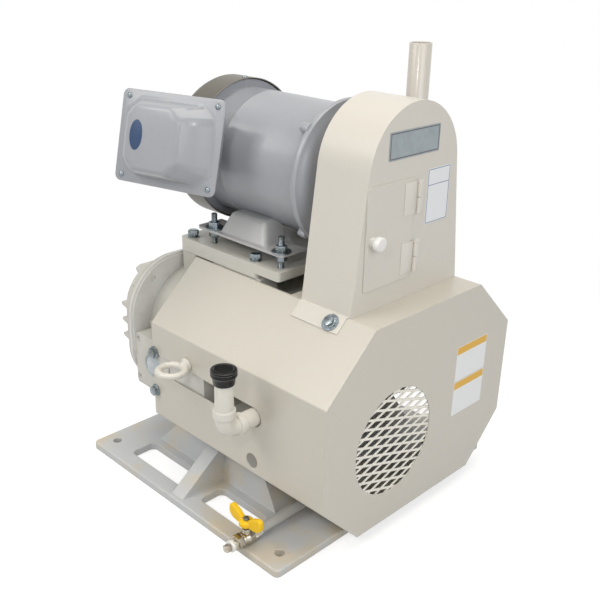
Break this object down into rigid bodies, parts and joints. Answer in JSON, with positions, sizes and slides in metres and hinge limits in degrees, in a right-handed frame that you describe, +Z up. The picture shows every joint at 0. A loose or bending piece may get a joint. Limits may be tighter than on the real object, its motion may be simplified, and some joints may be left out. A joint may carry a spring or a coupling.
{
  "type": "vacuum pump",
  "caption": "Belt-driven rotary vacuum pump with the motor on top, sheet-metal guards with an inspection door, drain valve and exhaust pipe on a cast base",
  "frame": {"origin": "centre of the four base bolt holes on the underside of the base", "axes": "+X along the shafts to the belt end, +Y to the rear, away from the filler and drain valve, +Z up"},
  "size_m": [0.6108, 0.6892, 0.836],
  "materials": {
    "cover_paint": "satin beige paint",
    "pump_paint": "painted castings",
    "base_paint": "painted casting",
    "plate_paint": "satin paint",
    "motor_paint": "semi-gloss grey paint",
    "cowl_paint": "semi-gloss paint",
    "pipe_paint": "gloss ivory paint",
    "mesh": "painted expanded metal",
    "zinc": "bright zinc plate",
    "steel": "machined",
    "pulley_iron": "machined grey iron",
    "belt_rubber": "matt",
    "seal_rubber": "matt",
    "fan_plastic": "matt",
    "cap_plastic": "matt",
    "knob_plastic": "gloss",
    "block_plastic": "matt",
    "gauge_glass": "clear",
    "gauge_metal": "turned",
    "drain_steel": "painted pipe",
    "valve_brass": "nickel plated",
    "handle_paint": "yellow dip coat"
  },
  "bodies": {
    "root": {"lower_cover": "cover_paint", "belt_guard": "cover_paint", "pump_casing": "pump_paint", "gear_end_plate": "pump_paint", "gear_cover": "pump_paint", "drive_end_plate": "pump_paint", "drive_end_case": "pump_paint", "oil_gauge_block": "pump_paint", "base_casting": "base_paint", "motor_mounting_plate": "plate_paint", "motor_support_plate": "plate_paint", "motor_frame": "motor_paint", "motor_drive_bracket": "motor_paint", "motor_fan_bracket": "motor_paint", "motor_feet": "motor_paint", "terminal_box": "motor_paint", "terminal_box_lid": "motor_paint", "motor_fan_cowl": "cowl_paint", "lifting_eyes": "pipe_paint", "oil_filler_elbow": "pipe_paint", "oil_filler_nipple": "pipe_paint", "exhaust_pipe": "pipe_paint", "suction_flange": "pipe_paint", "cover_grille": "mesh", "pump_foot_bolts": "zinc", "gear_cover_bolts": "zinc", "drive_end_bolts": "zinc", "cover_bolts": "zinc", "guard_bolts": "zinc", "plate_bolts": "zinc", "motor_studs": "zinc", "stud_nuts": "zinc", "terminal_lid_screws": "zinc", "gauge_block_screws": "zinc", "pump_bearings": "steel", "motor_bearings": "steel", "motor_stator": "steel", "guard_hinge_leaves": "steel", "v_belts": "belt_rubber", "shaft_seal": "seal_rubber", "terminal_block": "block_plastic", "sight_glass": "gauge_glass", "sight_glass_ring": "gauge_metal", "drain_pipe": "drain_steel", "drain_valve_body": "valve_brass", "drain_plug": "valve_brass"},
    "drive_rotor_body": {"drive_rotor": "steel", "drive_gear": "steel", "pump_pulley": "pulley_iron"},
    "driven_rotor_body": {"driven_rotor": "steel", "driven_gear": "steel"},
    "motor_rotor_body": {"motor_rotor": "steel", "motor_fan": "fan_plastic", "motor_pulley": "pulley_iron"},
    "door_body": {"inspection_door": "cover_paint", "door_hinge_leaves": "steel", "door_knob": "knob_plastic"},
    "valve_body": {"drain_valve_ball": "valve_brass", "drain_valve_handle": "handle_paint"},
    "filler_cap_body": {"oil_filler_cap": "cap_plastic"}
  },
  "joints": [
    {"name": "drive_rotor_turn", "type": "hinge", "parent": "root", "child": "drive_rotor_body", "pos_m": [0, -0.061, 0.28], "axis": [1, 0, 0], "continuous": true},
    {"name": "driven_rotor_turn", "type": "hinge", "parent": "root", "child": "driven_rotor_body", "pos_m": [0, 0.099, 0.28], "axis": [1, 0, 0], "continuous": true},
    {"name": "motor_turn", "type": "hinge", "parent": "root", "child": "motor_rotor_body", "pos_m": [0, 0.019, 0.621], "axis": [1, 0, 0], "continuous": true},
    {"name": "door_swing", "type": "hinge", "parent": "root", "child": "door_body", "pos_m": [0.275, 0.027, 0.559], "axis": [0, 0, 1], "range_deg": [0, 110]},
    {"name": "drain_valve_turn", "type": "hinge", "parent": "root", "child": "valve_body", "pos_m": [0.192, -0.292, 0.03], "axis": [0, 0, 1], "range_deg": [0, 90]},
    {"name": "filler_cap_lift", "type": "slide", "parent": "root", "child": "filler_cap_body", "axis": [0, 0, 1], "range_m": [0, 0.06]}
  ],
  "couplings": [
    {"joint": "driven_rotor_turn", "follows": "drive_rotor_turn", "ratio": -1},
    {"joint": "motor_turn", "follows": "drive_rotor_turn", "ratio": 1.3571}
  ]
}
